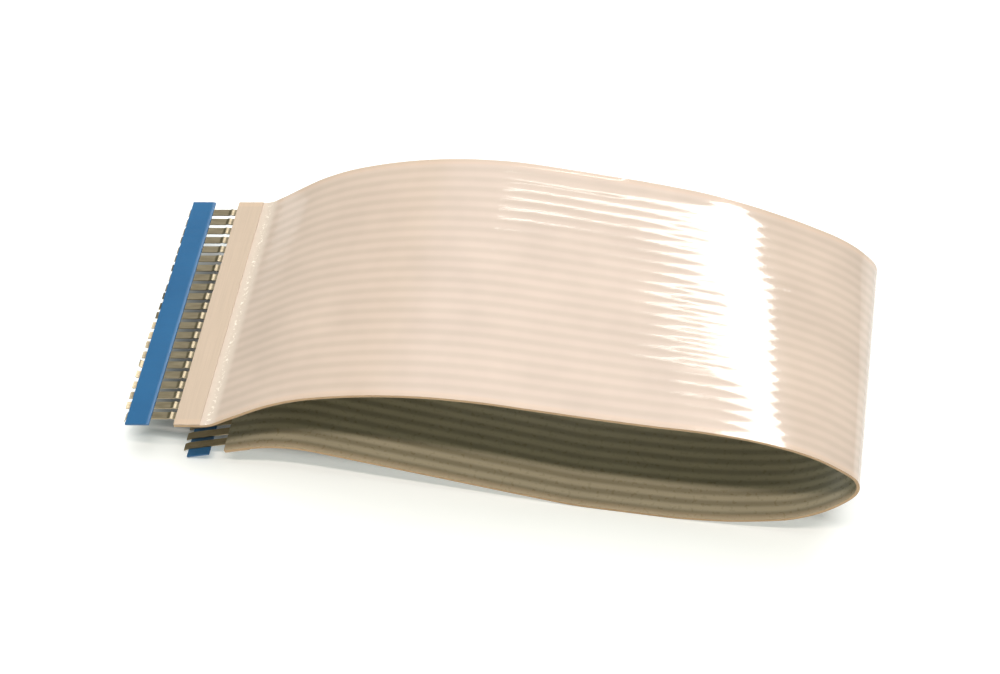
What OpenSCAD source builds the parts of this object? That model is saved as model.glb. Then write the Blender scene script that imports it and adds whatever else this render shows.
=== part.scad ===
// Flat ribbon cable, folded once and lying on its lower run.
// The ribbon is drawn on its side as a strip of constant thickness that follows
// a row of straight and curved stretches, then extruded across its width.
// Millimetres. Z is up, X runs toward the fold, Y across the ribbon.

/* [Part] */

/* [Ribbon] */
// spacing of the conductors, centre to centre
conductor_pitch = 1.25; // [1.2:0.01:2]
// width of one flat conductor
conductor_width = 0.8; // [0.5:0.05:0.85]
// thickness of one flat conductor
conductor_thick = 0.1; // [0.05:0.01:0.14]
// jacket film between the conductors, both layers together
web_thick = 0.2; // [0.16:0.01:0.25]
// jacket over a conductor, where the film stands up as a rib
rib_thick = 0.3; // [0.27:0.01:0.4]
// width of one rib
rib_width = 0.95; // [0.9:0.05:1.15]

/* [Ends] */
// conductor ends that stand out past the stiffener
tip_reach = 0.45; // [0.1:0.05:1]
// length of each blue stiffener
stiffener_length = 2.4; // [1.5:0.1:4]
// thickness of each stiffener
stiffener_thick = 0.2; // [0.1:0.01:0.3]
// bare conductors between the stiffener and the jacket, upper end
upper_window = 2.5; // [1.5:0.1:4]
// bare conductors between the stiffener and the jacket, lower end
lower_window = 1.75; // [1:0.05:3]
// length of the smooth cover tape at each end of the jacket
cover_length = 2.6; // [1.5:0.1:4]
// thickness of the cover tape
cover_thick = 0.12; // [0.05:0.01:0.2]
// flat jacket between the upper cover tape and the crease
crease_gap = 0.25; // [0:0.05:1]

/* [Upper run] */
// height of the upper end above the floor
end_height = 3.9; // [3.5:0.1:5]
// slope of the upper end
end_slope = 9.8; // [7:0.1:13]
// bend radius of the crease behind the upper cover tape
crease_radius = 2.3; // [1.5:0.1:4]
// slope of the climb behind the crease
rise_slope = 37.5; // [34:0.5:42]
// bend radius at the top of the climb
shoulder_radius = 22; // [18:1:26]
// slope where the shoulder meets the crown
shoulder_slope = 20.5; // [17:0.5:24]
// bend radius of the crown
crown_radius = 44.5; // [38:0.5:50]
// fall of the long top stretch
top_slope = 3; // [2:0.25:4]
// length of the long top stretch
top_length = 15.2; // [10:0.1:18]
// bend radius where the top turns down toward the fold
nose_radius = 42; // [36:1:48]
// slope at the end of that bend
nose_slope = 20.5; // [17:0.5:24]
// bend radius just above the fold
brow_radius = 13.6; // [11:0.1:16]
// slope where the tight fold starts
brow_slope = 43.5; // [38:0.5:48]

/* [Fold] */
// bend radius of the tight fold
fold_radius = 2.2; // [2:0.05:2.5]
// slope where the tight fold ends, under it
heel_slope = 52.5; // [46:0.5:58]
// bend radius just under the fold
heel_radius = 11; // [9:0.25:13]
// slope at the end of that bend
sole_slope = 12.5; // [10:0.25:15]
// bend radius where the ribbon comes down on the floor
sole_radius = 51; // [42:1:60]

/* [Lower run] */
// length that lies flat on the floor
contact_length = 6.6; // [4:0.1:9]
// bend radius where the ribbon leaves the floor
lift_radius = 23; // [16:1:32]
// slope of the long rise to the arch
arch_slope = 7.7; // [7:0.1:8.5]
// bend radius of the arch
arch_radius = 13; // [10:0.5:16]
// slope of the lower end as it comes down to the floor
lower_end_slope = 21.5; // [18:0.5:25]

/* [Hidden] */
conductor_count = 22;
ribbon_width = (conductor_count + 1) * conductor_pitch;
mid_height = rib_thick / 2;
upper_bare = tip_reach + stiffener_length + upper_window;
lower_bare = tip_reach + stiffener_length + lower_window;
upper_flat = upper_bare + cover_length + crease_gap;
lower_flat = lower_bare + cover_length;
// neighbouring stretches run into each other by this much
lap = 0.02;
// every other stretch is this much thinner on each face, so a joint is a clean step
joint_step = 0.004;
$fn = 96;

// rise of an arc of radius r between two headings
function arc_step(r, a, b) =
  r * sign(b - a) * [sin(b) - sin(a), cos(a) - cos(b)];
function run_step(length, a) = length * [cos(a), sin(a)];

// the tip of the lower end rests on the corner of its stiffener or of its conductors
lower_tip_height = max(
  conductor_thick / 2 * cos(lower_end_slope),
  (conductor_thick / 2 + stiffener_thick) * cos(lower_end_slope)
    - tip_reach * sin(lower_end_slope));

// length of the climb that brings the lower run down to the floor
rise_length = (mid_height - end_height
  - run_step(upper_flat, end_slope)[1]
  - arc_step(crease_radius, end_slope, rise_slope)[1]
  - arc_step(shoulder_radius, rise_slope, shoulder_slope)[1]
  - arc_step(crown_radius, shoulder_slope, -top_slope)[1]
  - run_step(top_length, -top_slope)[1]
  - arc_step(nose_radius, -top_slope, -nose_slope)[1]
  - arc_step(brow_radius, -nose_slope, -brow_slope)[1]
  - arc_step(fold_radius, -brow_slope, heel_slope - 180)[1]
  - arc_step(heel_radius, heel_slope - 180, sole_slope - 180)[1]
  - arc_step(sole_radius, sole_slope - 180, -180)[1]) / sin(rise_slope);

// length of the long rise that lets the lower tip touch the floor
arch_length = (lower_tip_height - mid_height
  - arc_step(lift_radius, -180, -180 - arch_slope)[1]
  - arc_step(arch_radius, -180 - arch_slope, lower_end_slope - 180)[1]
  - run_step(lower_flat, lower_end_slope - 180)[1]) / sin(arch_slope);

// each stretch: length (0 for a bend), bend radius (0 for a straight), heading at its end
stretches = [
  [upper_flat, 0, end_slope],
  [0, crease_radius, rise_slope],
  [rise_length, 0, rise_slope],
  [0, shoulder_radius, shoulder_slope],
  [0, crown_radius, -top_slope],
  [top_length, 0, -top_slope],
  [0, nose_radius, -nose_slope],
  [0, brow_radius, -brow_slope],
  [0, fold_radius, heel_slope - 180],
  [0, heel_radius, sole_slope - 180],
  [0, sole_radius, -180],
  [contact_length, 0, -180],
  [0, lift_radius, -180 - arch_slope],
  [arch_length, 0, -180 - arch_slope],
  [0, arch_radius, lower_end_slope - 180],
  [lower_flat, 0, lower_end_slope - 180]];
last = len(stretches) - 1;
fold = 8;

function heading(i) = i == 0 ? end_slope : stretches[i - 1][2];
function step(i) = stretches[i][1] == 0
  ? run_step(stretches[i][0], stretches[i][2])
  : arc_step(stretches[i][1], heading(i), stretches[i][2]);
function offset_to(i) = i == 0 ? [0, end_height] : offset_to(i - 1) + step(i - 1);

// the part is centred between its upper tip and the outside of its fold
fold_reach = offset_to(fold)[0] + fold_radius * sin(heading(fold))
  + fold_radius + rib_thick / 2;
tip_side = -conductor_thick / 2 * sin(end_slope);
shift = -(fold_reach + tip_side) / 2;
function place(i) = offset_to(i) + [shift, 0];
function thick_at(i, t) = i % 2 == 1 ? t : t - 2 * joint_step;

// one straight stretch: a strip t thick, cut short at a bare end
module straight_stretch(i, t, trim_start, trim_end) {
  start = i == 0 ? trim_start : -lap;
  end = i == last ? stretches[i][0] - trim_end : stretches[i][0] + lap;
  translate(place(i))
    rotate(heading(i))
      translate([start, -t / 2])
        square([end - start, t]);
}

// one bend: a ring t thick, kept only over the angle that it turns
module bend_stretch(i, t) {
  r = stretches[i][1];
  turn = stretches[i][2] - heading(i);
  side = sign(turn);
  over = lap / r * 180 / PI;
  half = abs(turn) / 2;
  far = (r + t) / cos(half + over) * 1.05;
  translate(place(i))
    rotate(heading(i))
      translate([0, side * r])
        intersection() {
          difference() {
            circle(r + t / 2);
            circle(r - t / 2);
          }
          polygon([
            [0, 0],
            far * [-sin(over), -side * cos(over)],
            far * [sin(half), -side * cos(half)],
            far * [sin(2 * half + over), -side * cos(2 * half + over)]]);
        }
}

// the whole strip seen from the side
module strip(t, trim_start, trim_end) {
  for (i = [0 : last])
    if (stretches[i][1] == 0) straight_stretch(i, thick_at(i, t), trim_start, trim_end);
    else bend_stretch(i, thick_at(i, t));
}

// the strip given a width, centred on y
module slab(t, y, width, trim_start, trim_end) {
  translate([0, y + width / 2, 0])
    rotate([90, 0, 0])
      linear_extrude(width)
        strip(t, trim_start, trim_end);
}

function conductor_y(i) = -ribbon_width / 2 + i * conductor_pitch;

// the film with its ribs, and a channel for each conductor
module jacket() {
  color("ivory")
    difference() {
      union() {
        slab(web_thick, 0, ribbon_width, upper_bare, lower_bare);
        for (i = [1 : conductor_count])
          slab(rib_thick, conductor_y(i), rib_width, upper_bare, lower_bare);
      }
      for (i = [1 : conductor_count])
        slab(conductor_thick, conductor_y(i), conductor_width, 0, 0);
    }
}

// one flat conductor, bare at both ends
module conductor(i) {
  color("silver")
    slab(conductor_thick, conductor_y(i), conductor_width, 0, 0);
}

// a flat piece t thick on the outer face of an end, over what is under_thick there
module patch(i, start, length, under_thick, t) {
  translate([place(i)[0], ribbon_width / 2, place(i)[1]])
    rotate([90, 0, 0])
      rotate(heading(i))
        translate([start, thick_at(i, under_thick) / 2, 0])
          linear_extrude(ribbon_width)
            square([length, t]);
}

module upper_stiffener() {
  color("steelblue")
    patch(0, tip_reach, stiffener_length, conductor_thick, stiffener_thick);
}

module lower_stiffener() {
  color("steelblue")
    patch(last, lower_flat - tip_reach - stiffener_length, stiffener_length,
      conductor_thick, stiffener_thick);
}

module upper_cover_tape() {
  color("white")
    patch(0, upper_bare, cover_length, rib_thick, cover_thick);
}

module lower_cover_tape() {
  color("white")
    patch(last, lower_flat - lower_bare - cover_length, cover_length,
      rib_thick, cover_thick);
}

jacket();
conductor(1);  // conductor_01
conductor(2);  // conductor_02
conductor(3);  // conductor_03
conductor(4);  // conductor_04
conductor(5);  // conductor_05
conductor(6);  // conductor_06
conductor(7);  // conductor_07
conductor(8);  // conductor_08
conductor(9);  // conductor_09
conductor(10);  // conductor_10
conductor(11);  // conductor_11
conductor(12);  // conductor_12
conductor(13);  // conductor_13
conductor(14);  // conductor_14
conductor(15);  // conductor_15
conductor(16);  // conductor_16
conductor(17);  // conductor_17
conductor(18);  // conductor_18
conductor(19);  // conductor_19
conductor(20);  // conductor_20
conductor(21);  // conductor_21
conductor(22);  // conductor_22
upper_stiffener();
lower_stiffener();
upper_cover_tape();
lower_cover_tape();
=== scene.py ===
import math
import random
import bpy
import numpy as np
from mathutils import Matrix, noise


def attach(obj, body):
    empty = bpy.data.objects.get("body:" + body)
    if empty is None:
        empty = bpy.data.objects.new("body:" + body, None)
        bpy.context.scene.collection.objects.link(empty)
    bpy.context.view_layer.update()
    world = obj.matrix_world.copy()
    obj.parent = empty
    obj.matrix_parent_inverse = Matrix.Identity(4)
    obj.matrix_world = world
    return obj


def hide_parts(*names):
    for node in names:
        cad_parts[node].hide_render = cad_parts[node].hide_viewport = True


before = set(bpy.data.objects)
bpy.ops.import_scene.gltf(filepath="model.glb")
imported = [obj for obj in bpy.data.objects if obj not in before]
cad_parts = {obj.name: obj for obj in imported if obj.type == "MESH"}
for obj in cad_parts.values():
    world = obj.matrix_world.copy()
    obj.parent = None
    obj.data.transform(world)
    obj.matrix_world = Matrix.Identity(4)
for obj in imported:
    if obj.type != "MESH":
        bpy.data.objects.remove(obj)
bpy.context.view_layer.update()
print("frame loaded:", len(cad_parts), "nodes")

mm = 0.001
smoothAngle = math.radians(40)
random.seed(7)

# the ribbon in millimetres and degrees, as the CAD model draws it
ribbon = {
    "pitch": 1.25,              # conductor spacing
    "conductors": 22,
    "conductorWidth": 0.8,
    "conductorThick": 0.1,
    "webThick": 0.2,            # film between the conductors
    "ribThick": 0.3,            # film over a conductor
    "tipReach": 0.45,           # conductor ends past the stiffener
    "stiffenerLength": 2.4,
    "stiffenerThick": 0.2,
    "upperWindow": 2.5,         # bare conductors, upper end
    "lowerWindow": 1.75,
    "coverLength": 2.6,
    "coverThick": 0.12,
    "creaseGap": 0.25,          # flat film between the upper cover tape and the crease
    "endHeight": 3.9,           # the upper tip over the floor
    "endSlope": 9.8,
    "lowerEndSlope": 21.5,
}
# how the route is worked out, in millimetres
route = {
    "step": 0.05,
    "blendSteps": 20,           # the heading is averaged over this many steps each way
    "clearance": 0.02,          # under the lowest rib
}
ribbonWidth = (ribbon["conductors"] + 1) * ribbon["pitch"]
midHeight = ribbon["ribThick"] / 2
upperBare = ribbon["tipReach"] + ribbon["stiffenerLength"] + ribbon["upperWindow"]
lowerBare = ribbon["tipReach"] + ribbon["stiffenerLength"] + ribbon["lowerWindow"]
upperFlat = upperBare + ribbon["coverLength"] + ribbon["creaseGap"]
lowerFlat = lowerBare + ribbon["coverLength"]
onConductor = ribbon["conductorThick"] / 2

# each stretch of the lay: length of a straight or radius of a bend, and the heading at its end
lay = [
    ["straight", upperFlat, ribbon["endSlope"]],
    ["bend", 2.3, 37.5],
    ["straight", None, 37.5],       # long enough for the lower run to meet the floor
    ["bend", 22, 20.5],
    ["bend", 44.5, -3],
    ["straight", 15.2, -3],
    ["bend", 42, -20.5],
    ["bend", 13.6, -43.5],
    ["bend", 2.2, -127.5],
    ["bend", 11, -167.5],
    ["bend", 51, -180],
    ["straight", 6.6, -180],
    ["bend", 23, -187.7],
    ["straight", None, -187.7],     # long enough for the lower tip to touch the floor
    ["bend", 13, ribbon["lowerEndSlope"] - 180],
    ["straight", lowerFlat, ribbon["lowerEndSlope"] - 180],
]
# the far edge stands this much higher than the near edge, at a distance along the ribbon
twist = [(0, 0.2), (6.4, 0), (10.8, 0), (15.8, 0.4), (20.3, 0.7), (24.6, 1.0), (28.9, 1.25), (35.1, 1.42),
         (41.3, 1.3), (47.5, 1.05), (50.4, 0.8), (53.6, 0.4), (57.6, -0.5), (61.7, -1.3), (66, -1.9),
         (70.4, -2.2), (73, -2.7), (75, -2.7), (78.3, -2), (82.8, -1), (88, -0.3), (93, 0), (141, 0)]


def fitStraight(which, run, startHeight, endHeight):
    # sets the length of one straight so that the run it is in goes from one height to the other
    gained = 0
    for i in run:
        kind, size, end = lay[i]
        start = math.radians(lay[i - 1][2] if i else ribbon["endSlope"])
        end = math.radians(end)
        if kind == "bend":
            gained += math.copysign(size, end - start) * (math.cos(start) - math.cos(end))
        elif i != which:
            gained += size * math.sin(end)
    lay[which][1] = (endHeight - startHeight - gained) / math.sin(math.radians(lay[which][2]))


def layTable():
    # walks the lay in short steps and returns distance, x, z and heading at each
    rows = [(0.0, 0.0, ribbon["endHeight"], ribbon["endSlope"])]
    for kind, size, headingEnd in lay:
        distance, x, z, heading = rows[-1]
        length = size if kind == "straight" else size * math.radians(abs(headingEnd - heading))
        steps = max(2, int(length / route["step"]))
        reach = length / steps
        for i in range(steps):
            middle = math.radians(heading + (headingEnd - heading) * (i + 0.5) / steps)
            distance += reach
            x += reach * math.cos(middle)
            z += reach * math.sin(middle)
            rows.append((distance, x, z, heading + (headingEnd - heading) * (i + 1) / steps))
    return np.array(rows)


def softRoute(column, slopes):
    # adds up softened slopes into x or z, and keeps both ends where the lay has them
    path = np.concatenate([[0], np.cumsum(slopes[:-1] * route["step"])]) + table[0, column]
    missing = np.interp(even, table[:, 0], table[:, column])[-1] - path[-1]
    return path + missing * even / even[-1]


# the lower tip rests on the corner of its stiffener or of its conductors
tipSlope = math.radians(ribbon["lowerEndSlope"])
lowerTipHeight = max(onConductor * math.cos(tipSlope),
                     (onConductor + ribbon["stiffenerThick"]) * math.cos(tipSlope)
                     - ribbon["tipReach"] * math.sin(tipSlope))
fitStraight(2, range(0, 11), ribbon["endHeight"], midHeight)
fitStraight(13, range(11, 16), midHeight, lowerTipHeight)
table = layTable()
ribbonLength = table[-1, 0]
# centred between the upper tip and the outside of the fold
table[:, 1] -= (table[0, 1] + table[:, 1].max() + ribbon["ribThick"] / 2) / 2

# bends run softly into each other
even = np.arange(0, ribbonLength, route["step"])
headings = np.interp(even, table[:, 0], table[:, 3])
window = np.hanning(2 * route["blendSteps"] + 1)
padded = np.pad(headings, route["blendSteps"], mode="edge")
softHeading = np.convolve(padded, window / window.sum(), mode="valid")
softX = softRoute(1, np.cos(np.radians(softHeading)))
softZ = softRoute(2, np.sin(np.radians(softHeading)))
# the lowest place of the ribbon rests on the floor
softZ += max(0, midHeight + route["clearance"] - softZ.min())
print("lay:", round(float(ribbonLength), 2), "mm long, lowest", round(float(softZ.min()), 3))

# the jacket's film, in millimetres and degrees
filmShape = {
    "stepsAlong": 320,
    "stepsPerRib": 6,
    "bendSteps": 0.35,          # how much closer its lines lie for each degree of bend in a millimetre
    "swell": 0.0025,            # the adhesive fills the flanks, so a rib only swells softly
    "stillUpper": 9.0,          # the film stays even over these lengths at its ends
    "stillLower": 8.0,
    "stillFade": 4.0,
    "wave": 0.02,               # the film waves a little by itself
    "waveLength": 9.0,
    "waveWidth": 5.0,
    "waveLayer": 3.7,           # which slice of the noise the wave takes
    "lean": 0.4,                # and each rib leans a little to one side or the other
    "leanLayer": 8.1,
    "leanApart": 5.3,           # between the noise of one rib and the next
    "leanFade": 2.0,
    "farLift": 1.6,             # the far margin turns up a little
    "farFrom": 13.0,
    "nearDroop": 1.2,           # and the near side droops above the fold
    "nearFrom": -7.5,
    "droopMiddle": 58.0,
    "droopReach": 6.0,
    "dentReach": 3.0,           # a dent is worked out to this many times its half size
}
# ribs that lean more over a stretch: conductor, from, to, degrees
leans = [(22, 32, 48, -1.3), (21, 32, 48, -1.6), (19, 32, 43, 0.9), (18, 37, 43, 0.7), (17, 32, 46, 0.6)]
# short dents in the film: distance, place across, half length, half width, height
dents = [(50.5, -11.4, 3.2, 0.5, 0.0185), (63.6, 5.2, 0.5, 0.3, -0.03), (64.3, 8.9, 0.5, 0.3, -0.03)]


def softStep(value):
    value = min(max(value, 0), 1)
    return value * value * (3 - 2 * value)


def ribAt(across):
    # the nearest conductor, the distance from its middle, and 1 on the rib falling to 0 in the web
    number = min(max(round((across + ribbonWidth / 2) / ribbon["pitch"]), 1), ribbon["conductors"])
    aside = across + ribbonWidth / 2 - number * ribbon["pitch"]
    return number, aside, 0.5 + 0.5 * math.cos(2 * math.pi * aside / ribbon["pitch"])


def unevenness(along, across):
    # small heights of the ribbon out of its own plane, none at its ends
    shape = filmShape
    free = softStep((along - shape["stillUpper"]) / shape["stillFade"])
    free *= softStep((ribbonLength - shape["stillLower"] - along) / shape["stillFade"])
    if free == 0:
        return 0
    number, aside, crest = ribAt(across)
    waves = along / shape["waveLength"]
    lean = shape["lean"] * noise.noise((waves, number * shape["leanApart"], shape["leanLayer"]))
    for leaning, start, end, degrees in leans:
        if leaning == number:
            lean += (degrees * softStep((along - start) / shape["leanFade"])
                     * softStep((end - along) / shape["leanFade"]))
    height = shape["wave"] * noise.noise((waves, across / shape["waveWidth"], shape["waveLayer"]))
    height += math.radians(lean) * aside * crest
    height += math.radians(shape["farLift"]) * max(0, across - shape["farFrom"])
    overFold = math.exp(-((along - shape["droopMiddle"]) / shape["droopReach"]) ** 2)
    height -= math.radians(shape["nearDroop"]) * max(0, shape["nearFrom"] - across) * overFold
    for distance, place, halfLength, halfWidth, rise in dents:
        offAlong, offAcross = (along - distance) / halfLength, (across - place) / halfWidth
        if max(abs(offAlong), abs(offAcross)) < shape["dentReach"]:
            height += rise * math.exp(-offAlong ** 2 - offAcross ** 2)
    return height * free


def layOut(piece):
    # the flat piece, x along the ribbon and z out of it, is laid on the route
    flat = np.zeros(len(piece.data.vertices) * 3)
    piece.data.vertices.foreach_get("co", flat)
    flat = flat.reshape(-1, 3)
    flat[:, 2] += [unevenness(spot[0], spot[1]) for spot in flat]
    along = flat[:, 0]
    twistAt, twistRise = zip(*twist)
    heading = np.radians(np.interp(along, even, softHeading))
    lift = np.interp(along, twistAt, twistRise) * flat[:, 1] / ribbonWidth
    # the route stops less than a step short of the lower tip, and goes straight on from there
    after = np.maximum(along - even[-1], 0)
    x = np.interp(along, even, softX) + after * np.cos(heading) - flat[:, 2] * np.sin(heading)
    z = np.interp(along, even, softZ) + after * np.sin(heading) + flat[:, 2] * np.cos(heading) + lift
    laid = np.stack([x, flat[:, 1], z], axis=1) * mm
    piece.data.vertices.foreach_set("co", laid.ravel())
    piece.data.update()


def selectOnly(piece):
    bpy.ops.object.select_all(action="DESELECT")
    piece.select_set(True)
    bpy.context.view_layer.objects.active = piece


def shadeSmooth(piece):
    selectOnly(piece)
    bpy.ops.object.shade_smooth_by_angle(angle=smoothAngle)


def flatStrip(name, start, end, width, thick, stepsAlong, stepsAcross, materials):
    # a flat strip on its middle plane, closed all round.
    # three materials go on its outer face, its inner face and its cut edge, and one goes all over
    bpy.ops.object.select_all(action="DESELECT")
    bpy.ops.mesh.primitive_grid_add(x_subdivisions=stepsAlong, y_subdivisions=stepsAcross,
                                    size=1, calc_uvs=True)
    strip = bpy.context.object
    strip.name = name
    strip.scale = (end - start, width, 1)
    strip.location = ((start + end) / 2, 0, 0)
    bpy.ops.object.transform_apply(location=True, rotation=True, scale=True)
    for material in materials:
        strip.data.materials.append(material)
    wall = strip.modifiers.new("wall", "SOLIDIFY")
    wall.thickness = thick
    wall.offset = 0
    wall.use_rim = True
    wall.material_offset = 1
    wall.material_offset_rim = 2
    bpy.ops.object.modifier_apply(modifier="wall")
    return strip


def srgb(code):
    values = [int(code[i:i + 2], 16) / 255 for i in (1, 3, 5)]
    return tuple([v / 12.92 if v <= 0.04045 else ((v + 0.055) / 1.055) ** 2.4 for v in values] + [1])


def addNode(material, kind, settings=None, links=None):
    # one node with its settings, and links given as {input: (node, output)}
    node = material.node_tree.nodes.new(kind)
    for key, value in (settings or {}).items():
        if isinstance(key, str) and hasattr(node, key):
            setattr(node, key, value)
        else:
            node.inputs[key].default_value = value
    for key, (source, output) in (links or {}).items():
        material.node_tree.links.new(source.outputs[output], node.inputs[key])
    return node


def newMaterial(name):
    material = bpy.data.materials.new(name)
    material.use_nodes = True
    material.node_tree.nodes.clear()
    return material


def closeMaterial(material, shader):
    addNode(material, "ShaderNodeOutputMaterial", links={"Surface": (shader, 0)})
    return material


def calculate(material, operation, first, second=None):
    # one sum on a node's first output, with a number where it takes one
    settings = {"operation": operation}
    if second is not None:
        settings[1] = second
    return addNode(material, "ShaderNodeMath", settings, {0: (first, 0)})


def mapRange(material, source, fromRange, toRange=(0.0, 1.0), smooth=False):
    # turns one range of an output, given as (node, output), into another
    settings = {"interpolation_type": "SMOOTHSTEP"} if smooth else {}
    settings.update({"From Min": fromRange[0], "From Max": fromRange[1],
                     "To Min": toRange[0], "To Max": toRange[1]})
    return addNode(material, "ShaderNodeMapRange", settings, {"Value": source})


def mixColours(material, factor, first, second):
    # from the first colour, a code or another mix, to the second as the factor's output grows
    settings, links = {"data_type": "RGBA", 7: srgb(second)}, {"Factor": (factor, 0)}
    if isinstance(first, str):
        settings[6] = srgb(first)
    else:
        links[6] = first
    return addNode(material, "ShaderNodeMix", settings, links)


def noiseOn(material, place, scale, detail, roughness=0.5):
    # cloudy noise over a mapped place, given as (node, output)
    settings = {"Scale": scale, "Detail": detail, "Roughness": roughness}
    return addNode(material, "ShaderNodeTexNoise", settings, {"Vector": place})


# where the film's colour changes along its edges and its crease, in millimetres
margin = {
    "colour": "#EFCBAA",        # the adhesive's warm tone
    "strength": 0.16,
    "start": 0.75,              # from the edge, beside the last rib
    "full": 0.45,
}
# the crease is painted paler, with white specks along its middle: a painted highlight
crease = {
    "past": 0.6,                # beyond the flat end of the film
    "strip": (0.35, 1.3),       # half widths of the paler strip: where it is full and where it ends
    "highlightSpecks": (0.1, 0.45),      # and of the white specks along its middle
    "white": "#FFF8EE",
}


def creasedFilm(material, place, split, base, bump, paleColour):
    # painted highlight along the crease: the film is painted paler there, with fine white specks along its
    # middle, and the specks also bump its surface
    fromCrease = calculate(material, "SUBTRACT", split, upperFlat + crease["past"] - upperBare)
    aside = calculate(material, "ABSOLUTE", fromCrease)
    strip = mapRange(material, (aside, 0), crease["strip"], (1.0, 0.0), True)
    middle = mapRange(material, (aside, 0), crease["highlightSpecks"], (1.0, 0.0), True)
    specks = noiseOn(material, (place, 0), 2.6, 4.0, 0.7)
    highlightSpecks = mapRange(material, (specks, 0), (0.54, 0.62))
    white = addNode(material, "ShaderNodeMath", {"operation": "MULTIPLY"}, {0: (middle, 0), 1: (highlightSpecks, 0)})
    paler = mixColours(material, strip, (base, 2), paleColour)
    creased = mixColours(material, white, (paler, 2), crease["white"])
    crazing = addNode(material, "ShaderNodeBump", {"Distance": 0.00004},
                      {"Height": (specks, 0), "Strength": (strip, 0), "Normal": (bump, 0)})
    return creased, crazing


def polyesterFilm(name, webColour, ribColour, roughness, bumpStrength, creaseHighlightColour=None):
    # white polyester (PET) laminating film, hot rolled over the conductors:
    # glossy, slightly milky, with the conductors showing through as faint stripes.
    # the margins have no conductor under them and show the adhesive's warm tone
    material = newMaterial(name)
    # the piece's own map, turned to millimetres along and across the ribbon
    size = (ribbonLength - upperBare - lowerBare, ribbonWidth, 1)
    uv = addNode(material, "ShaderNodeUVMap")
    place = addNode(material, "ShaderNodeMapping", {"Scale": size}, {"Vector": (uv, 0)})
    split = addNode(material, "ShaderNodeSeparateXYZ", links={0: (place, 0)})
    across = addNode(material, "ShaderNodeMath", {"operation": "MULTIPLY", 1: 2 * math.pi / ribbon["pitch"]},
                     {0: (split, 1)})
    wave = calculate(material, "COSINE", across)
    stripe = mapRange(material, (wave, 0), (-0.8, 0.8))
    cloud = noiseOn(material, (place, 0), 0.16, 3.0, 0.55)
    grain = noiseOn(material, (place, 0), 2.2, 3.0)
    base = mixColours(material, stripe, webColour, ribColour)
    tone = mapRange(material, (cloud, 0), (0.3, 0.7), (0.95, 1.04))
    toned = addNode(material, "ShaderNodeVectorMath", {"operation": "SCALE"},
                    {0: (base, 2), "Scale": (tone, 0)})
    rough = mapRange(material, (grain, 0), (0.3, 0.7), (roughness * 0.8, roughness * 1.25))
    bump = addNode(material, "ShaderNodeBump", {"Strength": bumpStrength, "Distance": 0.00002},
                   {"Height": (grain, 0)})
    fromMiddle = addNode(material, "ShaderNodeMath", {"operation": "SUBTRACT", 1: ribbonWidth / 2},
                         {0: (split, 1)})
    sideways = calculate(material, "ABSOLUTE", fromMiddle)
    warmth = mapRange(material, (sideways, 0),
                      (ribbonWidth / 2 - margin["start"], ribbonWidth / 2 - margin["full"]),
                      (0.0, margin["strength"]), True)
    colour = mixColours(material, warmth, (toned, 0), margin["colour"])
    # the crease, where given, gets a painted highlight
    if creaseHighlightColour:
        colour, bump = creasedFilm(material, place, split, colour, bump, creaseHighlightColour)
    shader = addNode(material, "ShaderNodeBsdfPrincipled", {"IOR": 1.57},
                     {"Base Color": (colour, 2), "Roughness": (rough, 0), "Normal": (bump, 0)})
    return closeMaterial(material, shader)


def cutFilmEdge():
    # slit edge of the laminate: the adhesive between the films shows amber
    material = newMaterial("slitPolyesterEdge")
    coordinates = addNode(material, "ShaderNodeTexCoord")
    grain = noiseOn(material, (coordinates, 3), 900.0, 3.0)
    base = mixColours(material, grain, "#B08F6A", "#CBAA82")
    shader = addNode(material, "ShaderNodeBsdfPrincipled", {"Roughness": 0.5, "IOR": 1.5},
                     {"Base Color": (base, 2)})
    return closeMaterial(material, shader)


def tinnedCopper():
    # flat rolled copper, electro-tinned: soft grey metal with fine drawing lines
    material = newMaterial("tinnedCopper")
    coordinates = addNode(material, "ShaderNodeTexCoord")
    stretched = addNode(material, "ShaderNodeMapping", {"Scale": (250, 4000, 4000)},
                        {"Vector": (coordinates, 3)})
    lines = noiseOn(material, (stretched, 0), 1.0, 3.0)
    base = mixColours(material, lines, "#92846C", "#BEB095")
    rough = mapRange(material, (lines, 0), (0.0, 1.0), (0.28, 0.42))
    shader = addNode(material, "ShaderNodeBsdfPrincipled", {"Metallic": 1.0},
                     {"Base Color": (base, 2), "Roughness": (rough, 0)})
    return closeMaterial(material, shader)


def bluePolyester():
    # dyed polyester reinforcing tape, calendered: flat satin blue, a little cloudy, with a fine grain
    material = newMaterial("bluePolyesterTape")
    coordinates = addNode(material, "ShaderNodeTexCoord")
    cloud = noiseOn(material, (coordinates, 3), 180.0, 4.0)
    grain = noiseOn(material, (coordinates, 3), 2600.0, 2.0)
    base = mixColours(material, cloud, "#1F598B", "#2A6CA0")
    bump = addNode(material, "ShaderNodeBump", {"Strength": 0.3, "Distance": 0.00002}, {"Height": (grain, 0)})
    shader = addNode(material, "ShaderNodeBsdfPrincipled", {"Roughness": 0.3, "IOR": 1.57},
                     {"Base Color": (base, 2), "Normal": (bump, 0)})
    return closeMaterial(material, shader)


# the outer film's last colour is the paler colour of the crease's painted highlight
outerFilm = polyesterFilm("whitePolyesterFilm", "#D5C5BA", "#CDBEB2", 0.06, 0.1, "#DCD0C5")
# the film's inner face: the same film with painted shade. Its colours are darker and greyer, as painted shade
# of the fold's inside, and its stronger stripes are painted shading of the ribs' flanks
innerFilmPaintedShade = polyesterFilm("innerPolyesterFilmPaintedShade", "#958E7A", "#B9B29D", 0.3, 0.0)
# the smooth cover tape has no stripes
coverFilm = polyesterFilm("coverPolyesterTape", "#C8B7A6", "#C8B7A6", 0.34, 0.2)
slitEdge = cutFilmEdge()
tin = tinnedCopper()
blueTape = bluePolyester()
print("materials ready")


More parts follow.
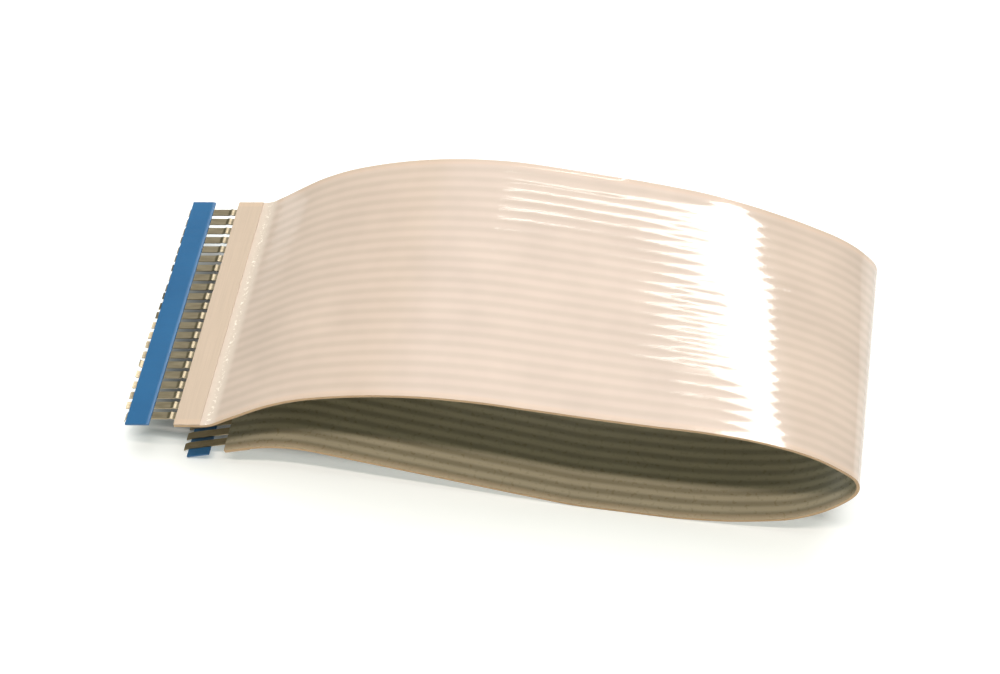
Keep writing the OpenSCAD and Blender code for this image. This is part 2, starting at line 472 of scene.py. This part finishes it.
def jacketFilm():
    # one flat ribbed sheet, closed round its edges and laid on the route
    steps = filmShape["stepsAlong"]
    start, end = upperBare, ribbonLength - lowerBare
    # lines across the ribbon lie closer together where it bends more
    inside = (even > start) & (even < end)
    bending = np.abs(np.gradient(softHeading, route["step"]))[inside]
    effort = np.cumsum(1 + filmShape["bendSteps"] * bending)
    stations = np.interp(np.linspace(effort[0], effort[-1], steps + 1), effort, even[inside])
    stations[0], stations[-1] = start, end
    # the inner face takes the film with painted shade
    film = flatStrip("jacket_film", start, end, ribbonWidth, ribbon["webThick"], steps,
                     (ribbon["conductors"] + 1) * filmShape["stepsPerRib"], (outerFilm, innerFilmPaintedShade, slitEdge))
    for vertex in film.data.vertices:
        column = round((vertex.co.x - start) / (end - start) * steps)
        side = 1 if vertex.co.z > 0 else -1
        half = midHeight - 2 * filmShape["swell"] * (1 - ribAt(vertex.co.y)[2])
        vertex.co = (stations[column], vertex.co.y, side * half)
    layOut(film)
    for spot in film.data.uv_layers[0].data:
        spot.uv[0] = (stations[round(spot.uv[0] * steps)] - start) / (end - start)
    shadeSmooth(film)
    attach(film, "root")
    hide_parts("jacket")
    return film


film = jacketFilm()
print("jacket film laid:", len(film.data.polygons), "faces")

# the conductors' bare ends, in millimetres
contact = {
    "stepsAlong": 420,
    "fineUpper": (7.0, 0.3),    # this much of the upper end takes this share of the steps
    "fineLower": (6.0, 0.15),   # and so for the lower end
    "kinkHeight": 0.072,        # small crimp where a conductor leaves the jacket
    "kinkLength": 0.3,
    "kinkFromJacket": 0.6,
    "kinkSpread": 0.05,
    "tipBend": 0.08,            # uneven bend of the free tips
    "tipTurn": 0.12,            # and how far they turn aside
    "nearTipRise": 0.12,        # the tips toward the near side bend up
    "farTipCut": 0.4,           # and those toward the far side are cut this much shorter
    "farFrom": 15,              # conductors from this one on are far ones
    "farOver": 8,               # and this many before it lie between near and far
    "bentTip": (-0.42, -0.1),   # the nearest upper tip is bent down and aside
}


def conductorPattern():
    # one flat strip, whose cross lines lie closest together at its ends, where it is bare
    pattern = flatStrip("conductorPattern", 0, ribbonLength, ribbon["conductorWidth"],
                        ribbon["conductorThick"], contact["stepsAlong"], 2, [tin])
    upper, upperShare = contact["fineUpper"]
    lower, lowerShare = contact["fineLower"]
    shares = [0, upperShare, 1 - lowerShare, 1]
    places = [0, upper, ribbonLength - lower, ribbonLength]
    for vertex in pattern.data.vertices:
        vertex.co.x = np.interp(vertex.co.x / ribbonLength, shares, places)
    return pattern


def conductorStrip(pattern, number):
    # a copy of the pattern with its own kink and bent tips
    strip = pattern.copy()
    strip.data = pattern.data.copy()
    bpy.context.collection.objects.link(strip)
    strip.name = "conductor_strip_%02d" % number
    centre = -ribbonWidth / 2 + number * ribbon["pitch"]
    nearness = softStep((contact["farFrom"] - number) / contact["farOver"])
    upTip = random.uniform(-1, 1) * contact["tipBend"] + contact["nearTipRise"] * (2 * nearness - 1)
    lowTip = random.uniform(-0.2, 1) * contact["tipBend"]
    sideTip = random.uniform(-contact["tipTurn"], contact["tipTurn"])
    if number == 1:
        upTip, sideTip = contact["bentTip"]
    kinkOff = random.uniform(-contact["kinkSpread"], contact["kinkSpread"])
    kink = upperBare - contact["kinkFromJacket"] + kinkOff
    for vertex in strip.data.vertices:
        along = vertex.co.x
        near = (along - kink) / contact["kinkLength"]
        if abs(near) < 1:
            vertex.co.z += contact["kinkHeight"] * (0.5 + 0.5 * math.cos(math.pi * near))
        tip = max(0, ribbon["tipReach"] - along) / ribbon["tipReach"]
        lowEnd = max(0, along - ribbonLength + ribbon["tipReach"]) / ribbon["tipReach"]
        vertex.co.x += contact["farTipCut"] * (1 - nearness) * tip * ribbon["tipReach"]
        vertex.co.z += upTip * tip * tip - lowTip * lowEnd * lowEnd
        vertex.co.y += centre + sideTip * (tip + lowEnd)
    layOut(strip)
    shadeSmooth(strip)
    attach(strip, "root")
    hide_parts("conductor_%02d" % number)


pattern = conductorPattern()
for number in range(1, ribbon["conductors"] + 1):
    conductorStrip(pattern, number)
bpy.data.objects.remove(pattern)
print("conductors laid")

# the tapes at both ends, in millimetres
tapeShape = {
    "stepsAlong": 32,
    "stepsPerRib": 8,
    "edgeRound": 0.03,
    "blueImprint": 0.012,       # the conductors show through the upper blue tape
    "bluePressed": 0.085,       # and its inner edge is pressed down this much
    "pressReach": 0.3,
    "coverImprint": 0.004,
}


def tape(name, start, length, lift, thick, material, node, imprint=0.0, pressed=0.0):
    # a flat tape on the outer face, its edges a little rounded, pressed over what lies under it
    piece = flatStrip(name, start, start + length, ribbonWidth, thick, tapeShape["stepsAlong"],
                      (ribbon["conductors"] + 1) * tapeShape["stepsPerRib"], [material])
    for vertex in piece.data.vertices:
        top = 1 if vertex.co.z > 0 else 0
        phase = math.cos(2 * math.pi * (vertex.co.y + ribbonWidth / 2) / ribbon["pitch"])
        atEdge = max(0, 1 - (start + length - vertex.co.x) / tapeShape["pressReach"])
        vertex.co.z += lift + thick / 2 + imprint * phase * top
        vertex.co.z -= pressed * top * atEdge ** 2
    selectOnly(piece)
    edge = piece.modifiers.new("edge", "BEVEL")
    edge.width = tapeShape["edgeRound"]
    edge.segments = 2
    edge.limit_method = "ANGLE"
    edge.angle_limit = math.radians(60)
    bpy.ops.object.modifier_apply(modifier="edge")
    layOut(piece)
    shadeSmooth(piece)
    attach(piece, "root")
    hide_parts(node)


tape("upper_blue_tape", ribbon["tipReach"], ribbon["stiffenerLength"], onConductor, ribbon["stiffenerThick"],
     blueTape, "upper_stiffener", tapeShape["blueImprint"], tapeShape["bluePressed"])
tape("lower_blue_tape", ribbonLength - ribbon["tipReach"] - ribbon["stiffenerLength"],
     ribbon["stiffenerLength"], onConductor, ribbon["stiffenerThick"],
     blueTape, "lower_stiffener")
tape("upper_cover_band", upperBare, ribbon["coverLength"], midHeight, ribbon["coverThick"],
     coverFilm, "upper_cover_tape", tapeShape["coverImprint"])
tape("lower_cover_band", ribbonLength - lowerBare - ribbon["coverLength"], ribbon["coverLength"], midHeight,
     ribbon["coverThick"], coverFilm, "lower_cover_tape")
print("tapes laid")

# floor and light: metres for the lamps and the floor's sheet, millimetres for its shades
studio = {
    "ambient": 0.2,             # faint light from all round
    "ambientColour": "#F2FFDE",
    "hazeColour": "#F4F7FF",    # and brighter haze round the window
    "hazeToward": (0.0, 0.62, 0.78),
    "hazeEdge": (0.87, 0.97),   # how nearly a direction points at the haze where it starts and is full
    "hazeStrength": 1.6,
    "floorSize": 6.0,
    "floorDrop": 0.00002,       # the floor lies this much under the ribbon
    "floor": "#DFE3E8",
    "floorLight": "#F8FFFA",
    "floorGlow": 0.36,          # the white sheet glows a little, which keeps its shadows faint
    "sheetEdge": (0.11, 0.16),  # the white sheet ends softly between these distances
    "tableTone": 0.6,           # brightness of the table top around it, as a share of the sheet's
    # boxes on the floor, each with the share of its half size where its soft edge starts
    "underRibbon": {"middle": (-0.7, 0), "half": (35.3, 12.9), "edge": 0.86},
    "shadeGlow": 0.04,          # the glow under the ribbon
    # painted shade: in this box under the raised upper end the floor's colour is darkened to the share below
    "underEnd": {"middle": (-31, 0.5), "half": (4.4, 14), "edge": 0.55},
    "endPaintedShade": 0.14,            # the deeper shade under the raised end
    "lampHeight": 4.0,
    "lampColour": "#FFFDF8",
    "ceiling": (-1.6, -0.49, 1.6, 2.3),      # broad panel overhead: x and y of two corners
    "ceilingStrength": 3.75,
    "tube": (-1.6, -1.34, 1.6, -1.06),       # brighter tube along the panel's near side
    "tubeStrength": 31.0,
    "tubeColour": "#FFEFE0",
    "windowStrength": 14.0,     # the bright window that the film mirrors
    "windowDistance": 4.0,
    # its outline as seen from the ribbon: turned from straight behind toward the fold, and height, degrees
    "window": [(-15, 52.15), (-11, 52.25), (-6, 52.35), (0, 52.1), (3.5, 51.3), (7.5, 50.2), (13.5, 48.8),
               (18, 47.5), (26.5, 45), (26.5, 25), (17.5, 34), (16.5, 43.6), (15, 45), (13.8, 45.9),
               (11.6, 47.1), (8.2, 48.7), (3.6, 50.4), (0, 51.5), (-6, 51.7), (-15, 52)],
}
# the camera, in metres, degrees and, for the lens, millimetres
view = {
    "place": (0.0252809, -0.1598892, 0.2019735),
    "turn": (39.6076, 0.219, 8.9344),
    "lens": 94.82,
    "sensor": 36,
    "clipStart": 0.005,
}


def softBox(material, place, box, inside, outside):
    # one value inside a box on the floor and another outside it, with a soft edge
    middle = (box["middle"][0] * mm, box["middle"][1] * mm, 0)
    half = (box["half"][0] * mm, box["half"][1] * mm, 1)
    moved = addNode(material, "ShaderNodeVectorMath", {"operation": "SUBTRACT", 1: middle}, {0: (place, 3)})
    scaled = addNode(material, "ShaderNodeVectorMath", {"operation": "DIVIDE", 1: half}, {0: (moved, 0)})
    size = addNode(material, "ShaderNodeVectorMath", {"operation": "ABSOLUTE"}, {0: (scaled, 0)})
    sides = addNode(material, "ShaderNodeSeparateXYZ", links={0: (size, 0)})
    reach = addNode(material, "ShaderNodeMath", {"operation": "MAXIMUM"}, {0: (sides, 0), 1: (sides, 1)})
    return mapRange(material, (reach, 0), (box["edge"], 1.0), (inside, outside), True)


def paleFloor():
    # a sheet of white paper that glows a little, on a darker table top, with painted shade darkening its
    # colour under the raised upper end
    paper = newMaterial("paleFloor")
    place = addNode(paper, "ShaderNodeTexCoord")
    glow = softBox(paper, place, studio["underRibbon"], studio["shadeGlow"], studio["floorGlow"])
    # painted shade under the raised end, multiplied into the floor's colour
    paintedEndShade = softBox(paper, place, studio["underEnd"], studio["endPaintedShade"], 1.0)
    awayFrom = addNode(paper, "ShaderNodeVectorMath", {"operation": "LENGTH"}, {0: (place, 3)})
    sheet = mapRange(paper, (awayFrom, 1), studio["sheetEdge"], (1.0, studio["tableTone"]), True)
    tone = addNode(paper, "ShaderNodeMath", {"operation": "MULTIPLY"}, {0: (sheet, 0), 1: (paintedEndShade, 0)})
    tint = addNode(paper, "ShaderNodeVectorMath", {"operation": "SCALE", 0: srgb(studio["floor"])[:3]},
                   {"Scale": (tone, 0)})
    shader = addNode(paper, "ShaderNodeBsdfPrincipled",
                     {"Roughness": 0.9, "Emission Color": srgb(studio["floorLight"])},
                     {"Base Color": (tint, 0), "Emission Strength": (glow, 0)})
    return closeMaterial(paper, shader)


def airLight():
    # faint light from all round, and a brighter haze in one direction
    world = bpy.data.worlds.new("studio")
    bpy.context.scene.world = world
    world.use_nodes = True
    background = world.node_tree.nodes["Background"]
    direction = addNode(world, "ShaderNodeTexCoord")
    toward = addNode(world, "ShaderNodeVectorMath", {"operation": "DOT_PRODUCT", 1: studio["hazeToward"]},
                     {0: (direction, 0)})
    haze = mapRange(world, (toward, 1), studio["hazeEdge"], (studio["ambient"], studio["hazeStrength"]), True)
    colour = mixColours(world, haze, studio["ambientColour"], studio["hazeColour"])
    world.node_tree.links.new(haze.outputs[0], background.inputs["Strength"])
    world.node_tree.links.new(colour.outputs[2], background.inputs["Color"])


def lightPane(name, corners, strength, colour=studio["lampColour"]):
    # a glowing flat pane of any outline
    mesh = bpy.data.meshes.new(name)
    mesh.from_pydata(corners, [], [list(range(len(corners)))])
    pane = bpy.data.objects.new(name, mesh)
    bpy.context.collection.objects.link(pane)
    material = newMaterial(name + "Light")
    shader = addNode(material, "ShaderNodeEmission", {"Color": srgb(colour), "Strength": strength})
    pane.data.materials.append(closeMaterial(material, shader))


def seenAt(turn, height):
    # the place far off in a direction
    turn, height = math.radians(turn), math.radians(height)
    toward = (math.sin(turn) * math.cos(height), math.cos(turn) * math.cos(height), math.sin(height))
    return [studio["windowDistance"] * v for v in toward]


def overhead(left, near, right, far):
    # the corners of a level pane at the lamps' height
    height = studio["lampHeight"]
    return [(left, near, height), (left, far, height), (right, far, height), (right, near, height)]


bpy.ops.object.select_all(action="DESELECT")
bpy.ops.mesh.primitive_plane_add(size=studio["floorSize"], location=(0, 0, -studio["floorDrop"]))
floor = bpy.context.object
floor.name = "floor"
floor.data.materials.append(paleFloor())
airLight()
lightPane("window", [seenAt(*corner) for corner in studio["window"]], studio["windowStrength"])
lightPane("ceiling", overhead(*studio["ceiling"]), studio["ceilingStrength"])
lightPane("tube", overhead(*studio["tube"]), studio["tubeStrength"], studio["tubeColour"])
print("floor and light set")

bpy.ops.object.camera_add(location=view["place"], rotation=[math.radians(turn) for turn in view["turn"]])
camera = bpy.context.object
camera.data.lens = view["lens"]
camera.data.sensor_width = view["sensor"]
camera.data.clip_start = view["clipStart"]
bpy.context.scene.camera = camera
bpy.context.scene.view_settings.view_transform = "Standard"

print("scene ready")
